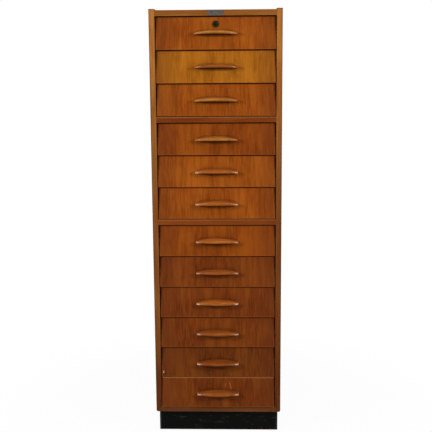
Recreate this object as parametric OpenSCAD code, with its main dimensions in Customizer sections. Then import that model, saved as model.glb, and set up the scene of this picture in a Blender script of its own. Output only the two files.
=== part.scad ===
// Tall chest of drawers in oiled teak, with leaning drawer fronts and a set-back black plinth.
// The front faces -Y, the floor is at z = 0, and x = 0 is the middle of the chest.
// The origin lies on the floor under the centre of the whole chest, its handles included.

/* [Case] */
// Width over the two side panels
case_w = 460; // [420:5:560]
// Depth from the front edges to the back
case_d = 430; // [400:5:520]
// Thickness of the sides and of the boards between them
board_t = 20; // [18:0.5:24]
// Height of the sides above the top panel
side_lip = 4; // [0.5:0.5:10]
// Radius along the lower outer edges of the sides
side_round = 7; // [2:1:12]
// Depth of the housings in the sides that hold the boards
housing_d = 6; // [4:1:9]
// Distance of those housings from the front edges
housing_stop = 14; // [8:1:24]
// Height of the shoulder above the tongues at the boards' ends
tongue_drop = 5; // [2:1:8]
// Thickness of the back panel
back_t = 6; // [4:1:8]
// Width of the rebate round the back panel
back_rebate = 10; // [6:1:12]

/* [Plinth] */
// Height of the plinth
plinth_h = 84; // [50:1:110]
// Thickness of its boards
plinth_t = 18; // [15:1:22]
// Distance of the plinth behind the front edges of the case
plinth_setback = 30; // [15:5:60]
// Distance of the plinth inside the case at each side
plinth_inset = 9; // [5:1:30]
// Distance of the plinth inside the back of the case
plinth_back_inset = 12; // [5:1:30]

/* [Drawers] */
// Drawers above the upper dividing board
top_drawers = 3; // [1:1:4]
// Drawers between the two dividing boards
middle_drawers = 3; // [1:1:4]
// Drawers below the lower dividing board
lower_drawers = 6; // [2:1:6]
// Height of a drawer front
front_h = 111.5; // [104:0.5:140]
// Thickness of a drawer front
front_t = 19; // [17:0.5:24]
// How far the top of a front lies behind its foot
front_lean = 9; // [4:0.5:12]
// Gap round each front
front_gap = 2.5; // [1.5:0.25:4]
// How far the lowest drawer stands open
lowest_open = 8; // [0:1:12]
// Gap between a drawer's sides and the sides of the case
side_gap = 4; // [3:0.5:6]
// Thickness of the drawer sides
drawer_side_t = 13; // [12:0.5:16]
// Height of the drawer sides
drawer_side_h = 92; // [85:1:95]
// Height of the drawer sides' lower edge above the foot of the front
drawer_side_z = 8; // [4:1:10]
// Distance of a drawer's rear end from the back panel
drawer_back_gap = 12; // [6:1:30]
// Depth of the rebates in a front that take the sides
front_rebate_d = 7; // [5:1:9]
// Thickness of the board across the rear of a drawer
drawer_back_t = 12; // [10:1:15]
// Distance of that board from the rear ends of the sides
drawer_back_inset = 8; // [5:1:20]
// How much lower that board is than the sides
drawer_back_drop = 4; // [0:1:15]
// Depth of its housings in the sides
drawer_housing_d = 5; // [3:1:6]
// Thickness of a drawer bottom
bottom_t = 4; // [3:0.5:6]
// Height of a drawer bottom above the lower edge of the sides
bottom_rise = 8; // [6:1:12]
// Depth of the groove that holds the bottom
bottom_groove_d = 5; // [3:0.5:6]
// Play of the bottom in its groove
bottom_play = 0.2; // [0.1:0.05:0.4]

/* [Runners] */
// Height of a runner strip
runner_h = 14; // [10:1:18]
// Height of the runners' middle above the foot of the front
runner_z = 56; // [45:1:65]
// Depth of the groove in a drawer side that the runner fills
runner_groove_d = 7.5; // [5:0.25:8]
// Gap between a runner and the bottom of its groove
runner_end_play = 0.5; // [0.3:0.1:1]
// Gap above and below a runner in its groove
runner_play = 0.3; // [0.2:0.05:0.6]
// Gap between a shut front and the runner that stops it
stop_play = 0.3; // [0.2:0.05:1]
// Distance of a runner's rear end from the back panel
runner_back_gap = 14; // [5:1:40]
// Distance of a runner screw from the end of its runner
runner_screw_inset = 50; // [25:5:120]

/* [Screws] */
// Diameter of a runner screw's shank
wood_screw_d = 3.5; // [3:0.25:4.5]
// Diameter of its countersunk head
wood_screw_head_d = 7; // [6:0.25:8]
// Height of the countersunk head
wood_screw_head_h = 2.4; // [2:0.1:3]
// Length of the screw
wood_screw_l = 22; // [18:1:26]
// Length of its point
wood_screw_point = 4; // [2:0.5:6]
// How far its head is sunk below the runner's face
wood_screw_sink = 1; // [0.7:0.1:2]
// Diameter of a handle screw's shank
handle_screw_d = 4; // [3:0.25:4.5]
// Diameter of its round head
handle_screw_head_d = 8; // [7:0.25:9]
// Height of its round head
handle_screw_head_h = 2.6; // [2:0.1:3]
// How far a handle screw reaches into the handle
handle_screw_bite = 14; // [10:1:16]
// How far a handle screw's head is sunk below the rear of the front
handle_screw_sink = 0.6; // [0.2:0.1:1]
// How far the handle screws lie below the middle of the handle's height
handle_screw_drop = 1; // [0:0.25:2]
// Distance between a handle's two screws
handle_screw_spacing = 64; // [50:2:80]
// Gap between a screw and the wood round it
screw_fit = 0.05; // [0.02:0.01:0.2]
// Gap in a joint between two pieces that are glued or screwed together
joint_gap = 0.1; // [0.05:0.05:0.2]

/* [Handles] */
// Length of a handle
handle_l = 152; // [144:4:168]
// How far the middle of a handle stands in front of the case
handle_reach = 38; // [30:1:45]
// How far its ends stand in front of the case
handle_end_reach = 13; // [9:1:18]
// Thickness at the middle
handle_mid_t = 14.5; // [12:0.5:18]
// Thickness at the tips
handle_tip_t = 4; // [3:0.25:5]
// Rise of the upper edge's wide arch over the length of the handle
handle_top_rise = 10; // [9:0.5:10.5]
// Rise of the lower edge from the ends to the middle
handle_under_rise = 2; // [1:0.25:3]
// Height of the lower edge's ends above the foot of the front
handle_z = 50; // [45:1:56]
// Height of the nose at a handle's front edge, below its rounded upper face
handle_nose_h = 3; // [2.5:0.25:5]
// Radius of the upper face where it bends down to the nose
handle_crown_r = 50; // [45:1:50]
// How far behind the nose that bend begins
handle_crown_l = 17; // [14:1:19]
// Radius by which the upper edge runs down to the tips
handle_corner_r = 14; // [13:1:16]
// Distance of those rounds' centres from the tips
handle_corner_inset = 11.5; // [10.5:0.5:12]
// Radius of the finger hollow under a handle
cove_r = 11; // [8:0.5:13]
// Depth of the finger hollow
cove_d = 5; // [3:0.5:6]
// Distance of the hollow's middle line behind the handle's front edge
cove_setback = 16; // [14:0.5:20]
// Half the length of the finger hollow
cove_half_l = 55; // [40:1:62]

/* [Lock] */
// Height of the lock's axis above the foot of the top drawer front
lock_z = 86; // [80:1:92]
// Diameter of the lock's round flange
lock_flange_d = 24; // [20:0.5:26]
// Thickness of the flange
lock_flange_t = 1.5; // [1:0.1:2.5]
// Diameter of the lock's housing
lock_housing_d = 19; // [17.5:0.25:19.5]
// Length of the housing behind the flange
lock_housing_l = 24; // [23.5:0.5:28]
// Diameter of the turning plug
lock_plug_d = 13; // [11:0.5:14]
// Running gap between plug and housing
lock_play = 0.05; // [0.02:0.01:0.1]
// Depth of the plug's face below the flange's face
lock_plug_recess = 0.4; // [0.2:0.1:1]
// Width of the keyway
keyway_w = 1.4; // [1:0.1:2]
// Height of the keyway
keyway_h = 7; // [5:0.5:8]
// Depth of the keyway
keyway_d = 8; // [4:0.5:12]
// Width across the flats of the nut
lock_nut_af = 24; // [22.5:0.5:28]
// Thickness of the nut
lock_nut_t = 3; // [2:0.25:3.5]
// Length of the cam from the lock's axis to its tip
cam_l = 38; // [36:0.5:42]
// Width of the cam
cam_w = 12; // [10:0.5:14]
// Thickness of the cam
cam_t = 2.5; // [2:0.25:4]
// Gap between the housing's rear end and the cam
cam_gap = 0.5; // [0.3:0.1:1]
// Side of the square that carries the cam
cam_square = 6; // [5:0.25:7]
// Diameter of the cam screw's shank
cam_screw_d = 3; // [2.5:0.25:3.5]
// Diameter of the cam screw's head
cam_screw_head_d = 9; // [8.5:0.25:10]
// Height of the cam screw's head
cam_screw_head_h = 2; // [1.5:0.25:3]
// Length of the cam screw's shank
cam_screw_l = 9; // [6:0.5:12]
// Room round the cam in its mortise
mortise_room = 1; // [0.5:0.25:2]

/* [Plate] */
// Width of the bare metal plate on the top panel's edge
plate_w = 55; // [40:1:80]
// Height of the plate
plate_h = 19; // [14:0.5:20]
// Thickness of the plate
plate_t = 0.8; // [0.5:0.1:1.5]
// Corner radius of the plate
plate_r = 1.5; // [0.5:0.25:3]

/* [Hidden] */
$fn = 96;
// Facets of the wide arcs along a handle
wide_fn = 720;
// Overshoot of every cut past the face it opens
over = 1;

drawer_count = top_drawers + middle_drawers + lower_drawers;
inner_w = case_w - 2 * board_t;
pitch = front_h + front_gap;
case_top = plinth_h + case_inner_h() + 2 * board_t + side_lip;
inner_top = case_top - side_lip - board_t;
inner_floor = plinth_h + board_t;
front_y = (handle_reach + lowest_open - case_d) / 2;
back_y = front_y + case_d;
lean_angle = atan(front_lean / front_h);

front_w = inner_w - 2 * front_gap;
box_w = inner_w - 2 * side_gap;
box_inner_w = box_w - 2 * drawer_side_t;
box_end = case_d - back_t - drawer_back_gap;
side_start = front_t - front_rebate_d;
bottom_z = drawer_side_z + bottom_rise;
bottom_w = box_inner_w + 2 * (bottom_groove_d - bottom_play);
back_board_y = box_end - drawer_back_inset - drawer_back_t;
back_board_z = bottom_z + bottom_t + bottom_play;
back_board_h = drawer_side_z + drawer_side_h - drawer_back_drop - back_board_z;

groove_h = runner_h + 2 * runner_play;
groove_top = runner_z + groove_h / 2;
runner_t = side_gap + runner_groove_d - runner_end_play;
runner_start = side_start + lean_at(groove_top) + stop_play;
runner_l = case_d - back_t - runner_back_gap - runner_start;
wood_screw_ys = [runner_screw_inset, runner_l - runner_screw_inset];

handle_arc_r = arc_radius(handle_l / 2, handle_reach - handle_end_reach);
handle_top_r = arc_radius(handle_l / 2, handle_top_rise);
handle_under_r = arc_radius(handle_l / 2, handle_under_rise);
handle_top_z = handle_under_rise + handle_mid_t;
handle_corner_x = handle_l / 2 - handle_corner_inset;
handle_corner_z = handle_tip_t - sqrt(pow(handle_corner_r, 2) - pow(handle_corner_inset, 2));
crown_drop = handle_mid_t - handle_nose_h;
crown_chord = norm([handle_crown_l, crown_drop]);
crown_away = sqrt(pow(handle_crown_r, 2) - pow(crown_chord / 2, 2));
crown_centre_r = handle_arc_r - handle_crown_l / 2 - crown_away * crown_drop / crown_chord;
crown_centre_z = handle_top_z - crown_drop / 2 - crown_away * handle_crown_l / crown_chord;
cove_path_r = handle_arc_r - cove_setback;
cove_angle = asin(cove_half_l / cove_path_r);
screw_z = handle_z + handle_under_rise + handle_mid_t / 2 - handle_screw_drop;
screw_seat_y = front_t + lean_at(screw_z) - handle_screw_head_h - handle_screw_sink;

front_depth = front_t * cos(lean_angle);
cam_y = lock_housing_l + cam_gap;
lock_to_top = front_h + front_gap - lock_z;
cam_sweep = sqrt(pow(cam_l, 2) - pow(lock_to_top, 2));
mortise_top = cam_l * cos(lean_angle) - cam_y * sin(lean_angle) + mortise_room;
mortise_front = lean_at(lock_z) + cam_y * cos(lean_angle) + lock_to_top * sin(lean_angle) - mortise_room;
mortise_back = lean_at(lock_z) + (cam_y + cam_t) * cos(lean_angle) + cam_l * sin(lean_angle) + mortise_room;

DRAWER_PIECES = ["front", "handle", "box", "bottom"];
CASE_NODES = [
    "side_left", "side_right", "top_panel", "dividers", "bottom_panel", "back_panel",
    "plinth", "drawer_runners", "wood_screws", "label_plate", "lock_housing", "lock_plug"
];

// Name of a drawer's node, counted from the top drawer
function drawer_node(i, piece) = str("drawer_", i < 9 ? "0" : "", i + 1, "_", piece);
// Clear height between the top panel and the bottom panel
function case_inner_h() = drawer_count * (front_h + front_gap) + 3 * front_gap + 2 * board_t;
// Dividing boards above drawer i
function boards_above(i) = (i >= top_drawers ? 1 : 0) + (i >= top_drawers + middle_drawers ? 1 : 0);
// Height of the foot of drawer front i
function drawer_z(i) = inner_top - (i + 1) * pitch - boards_above(i) * (front_gap + board_t);
// Height of the underside of the dividing board that lies under a number of drawers
function divider_z(drawers, board) = inner_top - drawers * pitch - board * (front_gap + board_t);
// Setback of a front's face at height z above its foot
function lean_at(z) = front_lean * z / front_h;
// Radius of an arc from half its chord and its rise
function arc_radius(half, rise) = (half * half + rise * rise) / (2 * rise);
// Height at x of an arc of radius r whose highest point is at top
function arch_z(r, top, x) = top - r + sqrt(r * r - x * x);
// How far drawer i stands open
function open_of(i) = i == drawer_count - 1 ? lowest_open : 0;

// Places its children in the frame of drawer i: y from the front of the case, z from the front's foot
module at_drawer(i) {
    translate([0, front_y - open_of(i), drawer_z(i)]) children();
}

// Places its children on a leaning face at height z, with +y going square into the wood
module on_face(z) {
    translate([0, lean_at(z), z]) rotate([-lean_angle, 0, 0]) children();
}

// A box given by its lowest and highest corners
module span(low, high) {
    translate(low) cube(high - low);
}

// A straight extrusion along x of an outline drawn in y and z
module along_x(x0, x1) {
    translate([x0, 0, 0]) rotate([90, 0, 90]) linear_extrude(x1 - x0) children();
}

// A rod along +y from y0 to y1
module rod_y(r, y0, y1) {
    translate([0, y0, 0]) rotate([-90, 0, 0]) cylinder(r = r, h = y1 - y0);
}

// A slab that leans as the fronts do, between heights z0 and z1
module leaning_slab(x0, x1, y0, y1, z0, z1) {
    along_x(x0, x1) polygon([
        [y0 + lean_at(z0), z0], [y0 + lean_at(z1), z1],
        [y1 + lean_at(z1), z1], [y1 + lean_at(z0), z0]
    ]);
}

// A housing across a side's inner face for the tongue of a board whose underside is at z
module housing(z) {
    span([-over, front_y + housing_stop, z], [housing_d, back_y + over, z + board_t - tongue_drop]);
}

// The countersunk runner screw along +x, with its head's face at x = 0
module wood_screw() {
    rotate([0, 90, 0]) rotate_extrude() polygon([
        [0, 0], [wood_screw_head_d / 2, 0], [wood_screw_d / 2, wood_screw_head_h],
        [wood_screw_d / 2, wood_screw_l - wood_screw_point], [0, wood_screw_l]
    ]);
}

// The hole for that screw, with room above its head
module wood_screw_hole() {
    shank_r = wood_screw_d / 2 + screw_fit;
    head_r = wood_screw_head_d / 2 + screw_fit;
    rotate([0, 90, 0]) rotate_extrude() polygon([
        [0, -wood_screw_sink - over], [head_r, -wood_screw_sink - over], [head_r, 0],
        [shank_r, wood_screw_head_h], [shank_r, wood_screw_l - wood_screw_point], [0, wood_screw_l + screw_fit]
    ]);
}

// Puts its children at both screws of the runner of drawer i, along +x into the right side
module at_runner_screws(i) {
    for (y = wood_screw_ys)
        translate([inner_w / 2 - runner_t + wood_screw_sink, front_y + runner_start + y, drawer_z(i) + runner_z])
            children();
}

// The right side panel, with its housings, rear rebate and screw holes
module right_side() {
    difference() {
        translate([inner_w / 2, 0, 0]) difference() {
            union() {
                span([0, front_y, plinth_h + side_round], [board_t, back_y, case_top]);
                span([0, front_y, plinth_h], [board_t - side_round, back_y, plinth_h + side_round]);
                translate([board_t - side_round, 0, plinth_h + side_round]) rod_y(side_round, front_y, back_y);
            }
            housing(inner_top);
            housing(plinth_h);
            housing(divider_z(top_drawers, 1));
            housing(divider_z(top_drawers + middle_drawers, 2));
            span([-over, back_y - back_t, inner_floor - back_rebate], [back_rebate, back_y + over, inner_top + back_rebate]);
        }
        for (i = [0 : drawer_count - 1])
            at_runner_screws(i) wood_screw_hole();
    }
}

module side_right() {
    color("sienna") right_side();
}

module side_left() {
    color("sienna") mirror([1, 0, 0]) right_side();
}

// A board across the case, with tongues that go into the housings under and behind a shoulder
module case_board(z, depth) {
    span([-inner_w / 2, front_y, z], [inner_w / 2, front_y + depth, z + board_t]);
    span(
        [-inner_w / 2 - housing_d, front_y + housing_stop, z],
        [inner_w / 2 + housing_d, front_y + depth, z + board_t - tongue_drop]
    );
}

// Slot in the top panel's underside that the lock's cam turns up into
module cam_mortise() {
    lock_height = drawer_z(0) + lock_z;
    span(
        [-cam_sweep - mortise_room, front_y + mortise_front, inner_top - over],
        [cam_w / 2 + mortise_room, front_y + mortise_back, lock_height + mortise_top]
    );
}

// Room for the back panel in the case boards
module back_space() {
    span(
        [-case_w / 2 - over, back_y - back_t, inner_floor - back_rebate],
        [case_w / 2 + over, back_y + over, inner_top + back_rebate]
    );
}

module top_panel() {
    color("sienna") difference() {
        case_board(inner_top, case_d);
        back_space();
        cam_mortise();
    }
}

module bottom_panel() {
    color("sienna") difference() {
        case_board(plinth_h, case_d);
        back_space();
    }
}

module dividers() {
    color("sienna") {
        case_board(divider_z(top_drawers, 1), case_d - back_t);
        case_board(divider_z(top_drawers + middle_drawers, 2), case_d - back_t);
    }
}

module back_panel() {
    half_w = inner_w / 2 + back_rebate;
    color("tan") span(
        [-half_w, back_y - back_t, inner_floor - back_rebate],
        [half_w, back_y, inner_top + back_rebate]
    );
}

// Four boards in a frame: the front and back ones run the full width
module plinth() {
    half_w = case_w / 2 - plinth_inset;
    front = front_y + plinth_setback;
    back = back_y - plinth_back_inset;
    color("black") {
        span([-half_w, front, 0], [half_w, front + plinth_t, plinth_h]);
        span([-half_w, back - plinth_t, 0], [half_w, back, plinth_h]);
        for (side = [0, 1])
            mirror([side, 0, 0])
                span([half_w - plinth_t, front + plinth_t + joint_gap, 0], [half_w, back - plinth_t - joint_gap, plinth_h]);
    }
}

// The right runner of drawer i
module right_runner(i) {
    difference() {
        translate([inner_w / 2 - runner_t, front_y + runner_start, drawer_z(i) + runner_z - runner_h / 2])
            cube([runner_t, runner_l, runner_h]);
        at_runner_screws(i) wood_screw_hole();
    }
}

module drawer_runners() {
    color("burlywood")
        for (i = [0 : drawer_count - 1])
            for (side = [0, 1])
                mirror([side, 0, 0]) right_runner(i);
}

module wood_screws() {
    color("goldenrod")
        for (i = [0 : drawer_count - 1])
            for (side = [0, 1])
                mirror([side, 0, 0]) at_runner_screws(i) wood_screw();
}

// Outline of the plate with its rounded corners
module plate_outline() {
    square([plate_w - 2 * plate_r, plate_h], center = true);
    square([plate_w, plate_h - 2 * plate_r], center = true);
    for (x = [-1, 1])
        for (z = [-1, 1])
            translate([x * (plate_w / 2 - plate_r), z * (plate_h / 2 - plate_r)]) circle(plate_r);
}

module label_plate() {
    color("gray")
        translate([0, front_y, inner_top + board_t / 2])
            rotate([90, 0, 0])
                linear_extrude(plate_t) plate_outline();
}

// The lock's housing with its flange, and the nut behind the drawer front
module lock_housing() {
    bore_r = lock_plug_d / 2 + lock_play;
    color("darkgoldenrod") at_drawer(0) on_face(lock_z) {
        difference() {
            union() {
                rod_y(lock_flange_d / 2, -lock_flange_t, 0);
                rod_y(lock_housing_d / 2, -lock_flange_t, lock_housing_l);
            }
            rod_y(bore_r, -lock_flange_t - over, lock_housing_l + over);
        }
        translate([0, front_depth, 0]) difference() {
            rotate([-90, 0, 0]) cylinder(d = lock_nut_af / cos(30), h = lock_nut_t, $fn = 6);
            rod_y(lock_housing_d / 2 + screw_fit, -over, lock_nut_t + over);
        }
    }
}

// Flat cam with a square hole on the lock's axis, pointing to -x
module cam() {
    hole = cam_square + 2 * screw_fit;
    difference() {
        union() {
            rod_y(cam_w / 2, cam_y, cam_y + cam_t);
            translate([cam_w / 2 - cam_l, 0, 0]) rod_y(cam_w / 2, cam_y, cam_y + cam_t);
            span([cam_w / 2 - cam_l, cam_y, -cam_w / 2], [0, cam_y + cam_t, cam_w / 2]);
        }
        span([-hole / 2, cam_y - over, -hole / 2], [hole / 2, cam_y + cam_t + over, hole / 2]);
    }
}

// The turning plug with its keyway and square end, the cam on it, and the cam's screw
module lock_plug() {
    plug_front = lock_plug_recess - lock_flange_t;
    square_end = cam_y + cam_t - joint_gap;
    head_y = cam_y + cam_t + joint_gap;
    color("saddlebrown") at_drawer(0) on_face(lock_z) {
        difference() {
            union() {
                rod_y(lock_plug_d / 2, plug_front, cam_y - joint_gap);
                span([-cam_square / 2, cam_y - over, -cam_square / 2], [cam_square / 2, square_end, cam_square / 2]);
            }
            span([-keyway_w / 2, plug_front - over, -keyway_h / 2], [keyway_w / 2, plug_front + keyway_d, keyway_h / 2]);
            rod_y(cam_screw_d / 2 + screw_fit, head_y - cam_screw_l - over, head_y);
        }
        cam();
        rod_y(cam_screw_d / 2, head_y - cam_screw_l, head_y + over);
        rod_y(cam_screw_head_d / 2, head_y, head_y + cam_screw_head_h);
    }
}

// Round-headed screw along -y, with its head's bearing face at y = 0
module handle_screw(length) {
    rod_y(handle_screw_head_d / 2, 0, handle_screw_head_h);
    rod_y(handle_screw_d / 2, -length, 0);
}

// Puts its children at both screw positions, at the head's bearing face
module at_handle_screws() {
    for (side = [-1, 1])
        translate([side * handle_screw_spacing / 2, screw_seat_y, screw_z]) children();
}

// Drawer front i: rebates for the sides, a groove for the bottom, holes for screws and lock
module drawer_front(i) {
    groove_y = front_t + lean_at(bottom_z) - bottom_groove_d;
    color("chocolate") at_drawer(i) difference() {
        leaning_slab(-front_w / 2, front_w / 2, 0, front_t, 0, front_h);
        for (side = [0, 1])
            mirror([side, 0, 0])
                leaning_slab(box_inner_w / 2, front_w / 2 + over, side_start, front_t + over, -over, front_h + over);
        span(
            [-bottom_w / 2 - bottom_play, groove_y, bottom_z - bottom_play],
            [bottom_w / 2 + bottom_play, front_t + front_lean + over, bottom_z + bottom_t + bottom_play]
        );
        at_handle_screws() {
            rod_y(handle_screw_d / 2 + screw_fit, -front_t - front_lean, over);
            rod_y(handle_screw_head_d / 2 + screw_fit, 0, handle_screw_head_h + front_lean);
        }
        if (i == 0)
            on_face(lock_z) rod_y(lock_housing_d / 2 + screw_fit, -over, front_t + over);
    }
}

// Handle seen from above: a wide arc with square ends, carried back through the front board's face
module handle_plan() {
    intersection() {
        translate([0, handle_arc_r - handle_reach]) circle(handle_arc_r, $fn = wide_fn);
        translate([-handle_l / 2, -handle_reach - over]) square([handle_l, handle_reach + front_t]);
    }
}

// Handle seen from the front: arched above and below, with rounds that run down to blunt tips
module handle_elevation() {
    difference() {
        intersection() {
            translate([0, handle_top_z - handle_top_r]) circle(handle_top_r, $fn = wide_fn);
            union() {
                translate([-handle_corner_x, -over]) square([2 * handle_corner_x, handle_top_z + 2 * over]);
                for (side = [-1, 1])
                    translate([side * handle_corner_x, handle_corner_z]) circle(handle_corner_r, $fn = wide_fn);
            }
        }
        translate([0, handle_under_rise - handle_under_r]) circle(handle_under_r, $fn = wide_fn);
    }
}

// What lies below a handle's upper face, which bends down to the nose all along the front edge
module under_crown() {
    translate([0, handle_arc_r - handle_reach, -over])
        cylinder(handle_top_z + 3 * over, r = handle_arc_r - handle_crown_l, $fn = wide_fn);
    translate([0, handle_arc_r - handle_reach, crown_centre_z])
        rotate_extrude($fn = wide_fn) translate([crown_centre_r, 0]) circle(handle_crown_r);
}

// Finger hollow under the handle, along its front edge
module finger_cove() {
    translate([0, handle_arc_r - handle_reach, handle_under_rise + cove_d - cove_r])
        rotate([0, 0, -90 - cove_angle])
            rotate_extrude(angle = 2 * cove_angle, $fn = wide_fn)
                translate([cove_path_r, 0]) circle(cove_r);
}

module drawer_handle(i) {
    screw_l = screw_seat_y - lean_at(screw_z) + handle_screw_bite;
    color("peru") at_drawer(i) difference() {
        translate([0, 0, handle_z]) difference() {
            intersection() {
                translate([0, 0, -over]) linear_extrude(handle_top_z + 2 * over) handle_plan();
                translate([0, front_t, 0]) rotate([90, 0, 0]) linear_extrude(handle_reach + 2 * front_t) handle_elevation();
                union() under_crown();
            }
            finger_cove();
        }
        leaning_slab(-handle_l, handle_l, 0, 2 * front_t, 0, front_h);
        at_handle_screws() rod_y(handle_screw_d / 2 + screw_fit, -screw_l - screw_fit, over);
    }
    color("silver") at_drawer(i) at_handle_screws() handle_screw(screw_l);
}

// One drawer side with its inner face towards -x: grooves for runner and bottom, housing for the back
module drawer_side() {
    side_top = drawer_side_z + drawer_side_h;
    inner_x = box_inner_w / 2;
    outer_x = box_w / 2;
    difference() {
        along_x(inner_x, outer_x) polygon([
            [side_start + lean_at(drawer_side_z), drawer_side_z],
            [side_start + lean_at(side_top), side_top],
            [box_end, side_top],
            [box_end, drawer_side_z]
        ]);
        span(
            [outer_x - runner_groove_d, 0, runner_z - groove_h / 2],
            [outer_x + over, box_end + over, runner_z + groove_h / 2]
        );
        span(
            [inner_x - over, 0, bottom_z - bottom_play],
            [inner_x + bottom_groove_d, box_end + over, bottom_z + bottom_t + bottom_play]
        );
        span(
            [inner_x - over, back_board_y - joint_gap, drawer_side_z - over],
            [inner_x + drawer_housing_d + joint_gap, back_board_y + drawer_back_t + joint_gap, side_top + over]
        );
    }
}

// The two sides and the back board of drawer i
module drawer_box(i) {
    back_half_w = box_inner_w / 2 + drawer_housing_d;
    color("tan") at_drawer(i) {
        drawer_side();
        mirror([1, 0, 0]) drawer_side();
        span(
            [-back_half_w, back_board_y, back_board_z],
            [back_half_w, back_board_y + drawer_back_t, back_board_z + back_board_h]
        );
    }
}

// The bottom of drawer i, from the front's groove to the rear ends of the sides
module drawer_bottom(i) {
    front_edge = front_t + lean_at(bottom_z) - bottom_groove_d + bottom_play;
    color("wheat") at_drawer(i)
        span([-bottom_w / 2, front_edge, bottom_z], [bottom_w / 2, box_end, bottom_z + bottom_t]);
}

side_left();
side_right();
top_panel();
dividers();
bottom_panel();
back_panel();
plinth();
drawer_runners();
wood_screws();
label_plate();
lock_housing();
lock_plug();
for (i = [0 : drawer_count - 1]) {
    drawer_front(i);
    drawer_handle(i);
    drawer_box(i);
    drawer_bottom(i);
}
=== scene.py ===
# Tall teak chest of drawers with leaning fronts: its finishes, handles, studio and camera.
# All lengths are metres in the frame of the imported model: front towards -Y, floor at z = 0.
import math

import bmesh
import bpy
from mathutils import Matrix, Vector


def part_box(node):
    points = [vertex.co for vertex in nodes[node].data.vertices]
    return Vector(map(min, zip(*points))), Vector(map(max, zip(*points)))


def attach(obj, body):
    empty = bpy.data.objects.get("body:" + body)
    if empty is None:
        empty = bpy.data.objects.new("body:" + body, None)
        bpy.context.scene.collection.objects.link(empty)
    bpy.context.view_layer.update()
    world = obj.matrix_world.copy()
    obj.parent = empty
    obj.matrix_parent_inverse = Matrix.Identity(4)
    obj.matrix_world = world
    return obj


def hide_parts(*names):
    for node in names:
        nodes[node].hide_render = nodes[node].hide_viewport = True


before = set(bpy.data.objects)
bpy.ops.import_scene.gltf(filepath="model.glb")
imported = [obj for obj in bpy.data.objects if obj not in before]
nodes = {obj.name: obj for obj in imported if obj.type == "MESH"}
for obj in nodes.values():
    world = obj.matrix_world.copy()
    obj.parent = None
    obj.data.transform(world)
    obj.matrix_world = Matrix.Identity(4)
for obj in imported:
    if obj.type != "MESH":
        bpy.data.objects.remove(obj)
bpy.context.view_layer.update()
mm = 0.001
drawerCount = 12
smooth = {"interpolation_type": "SMOOTHSTEP"}    # for a range that eases in and out
colours = {"data_type": "RGBA"}                  # for a mix of two colours
white = (1.0, 1.0, 1.0, 1.0)
print("frame loaded with", len(nodes), "nodes")


def toLinear(hexText):
    # sRGB hex to the linear colour that Blender's sockets take
    channels = [int(hexText[i:i + 2], 16) / 255 for i in (1, 3, 5)]
    return tuple([c / 12.92 if c <= 0.04045 else ((c + 0.055) / 1.055) ** 2.4 for c in channels] + [1.0])


def addNode(tree, kind, settings=None, links=()):
    # settings are the node's properties, or just its operation; links are values, sockets or whole nodes for
    # its inputs, named in a dictionary or in the order in which the node shows them
    node = tree.nodes.new("ShaderNode" + kind)
    if isinstance(settings, str):
        settings = {"operation": settings}
    for key, value in (settings or {}).items():
        setattr(node, key, value)
    if not isinstance(links, dict):
        shown = [socket.identifier for socket in node.inputs if socket.enabled]
        links = dict(zip(shown, links))
    for key, value in links.items():
        socket = [one for one in node.inputs if key in (one.identifier, one.name)][0]
        if isinstance(value, bpy.types.Node):
            value = [output for output in value.outputs if output.enabled][0]
        if isinstance(value, bpy.types.NodeSocket):
            tree.links.new(value, socket)
        else:
            socket.default_value = value
    return node


def startMaterial(name):
    material = bpy.data.materials.new(name)
    material.use_nodes = True
    tree = material.node_tree
    tree.nodes.clear()
    coords = addNode(tree, "TexCoord").outputs["Object"]
    return material, tree, coords


def finishMaterial(tree, links):
    shader = addNode(tree, "BsdfPrincipled", links=links)
    addNode(tree, "OutputMaterial", links={"Surface": shader})


def noiseAlong(tree, coords, grain, acrossMm, alongMm, shift, detail=2.0, distortion=0.0):
    # Noise drawn out along the grain; both sizes are real lengths in millimetres
    scale = [1000 / (alongMm if axis == grain else acrossMm) for axis in "XYZ"]
    place = addNode(tree, "Mapping", links={"Vector": coords, "Scale": scale, "Location": shift})
    return addNode(tree, "TexNoise", links={
        "Vector": place, "Scale": 1.0, "Detail": detail, "Distortion": distortion})


def stain(tree, colour, tone, depth, value, low, high):
    # Lays the tone over the colour, from nothing where value is low to the full depth where it is high
    mask = addNode(tree, "MapRange", smooth, [value, low, high, 0.0, depth])
    return addNode(tree, "Mix", colours, [mask, colour, toLinear(tone)])


def distanceFrom(tree, value, middle):
    return addNode(tree, "Math", "ABSOLUTE", [addNode(tree, "Math", "SUBTRACT", [value, middle])])


# Teak, planed or veneered, stained by age and oiled: an even satin face with long streaks
teak = {
    "cloudMm": (85, 210),      # broad paler clouds where the veneer leaf was cut flatter
    "figureMm": (15, 330),     # light and dark bands
    "streakMm": (4, 150),      # early and late wood; real streaks of 1 to 3 mm are drawn coarser to show
    "poreMm": (1.1, 16),       # pores are 0.2 mm wide in life, too fine for the render
    "cloudDepth": 0.85,
    "figureDepth": 0.45,
    "streakDepth": 0.55,
    "poreDepth": 0.35,
    "cloudNoise": (2.0, 0.6),      # detail and distortion of the noise that draws each kind of mark
    "figureNoise": (1.5, 0.3),
    "streakNoise": (3.0, 0.0),
    "poreNoise": (1.0, 0.0),
    "cloudBand": (0.38, 0.64),     # values of that noise between which the mark comes in
    "figureBand": (0.36, 0.64),
    "streakBand": (0.42, 0.68),
    "poreBand": (0.60, 0.72),
    "roughness": 0.50,
    "glossBand": (0.3, 0.7),
    "glossSpread": (-0.05, 0.06),
    "sheen": 0.08,             # an oiled face reflects much less than a lacquered one
    "sheenTone": "#F2CDAE",    # old oil and wax have yellowed
    "bumpMm": 0.10,
    "bumpStrength": 0.35,
}


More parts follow.
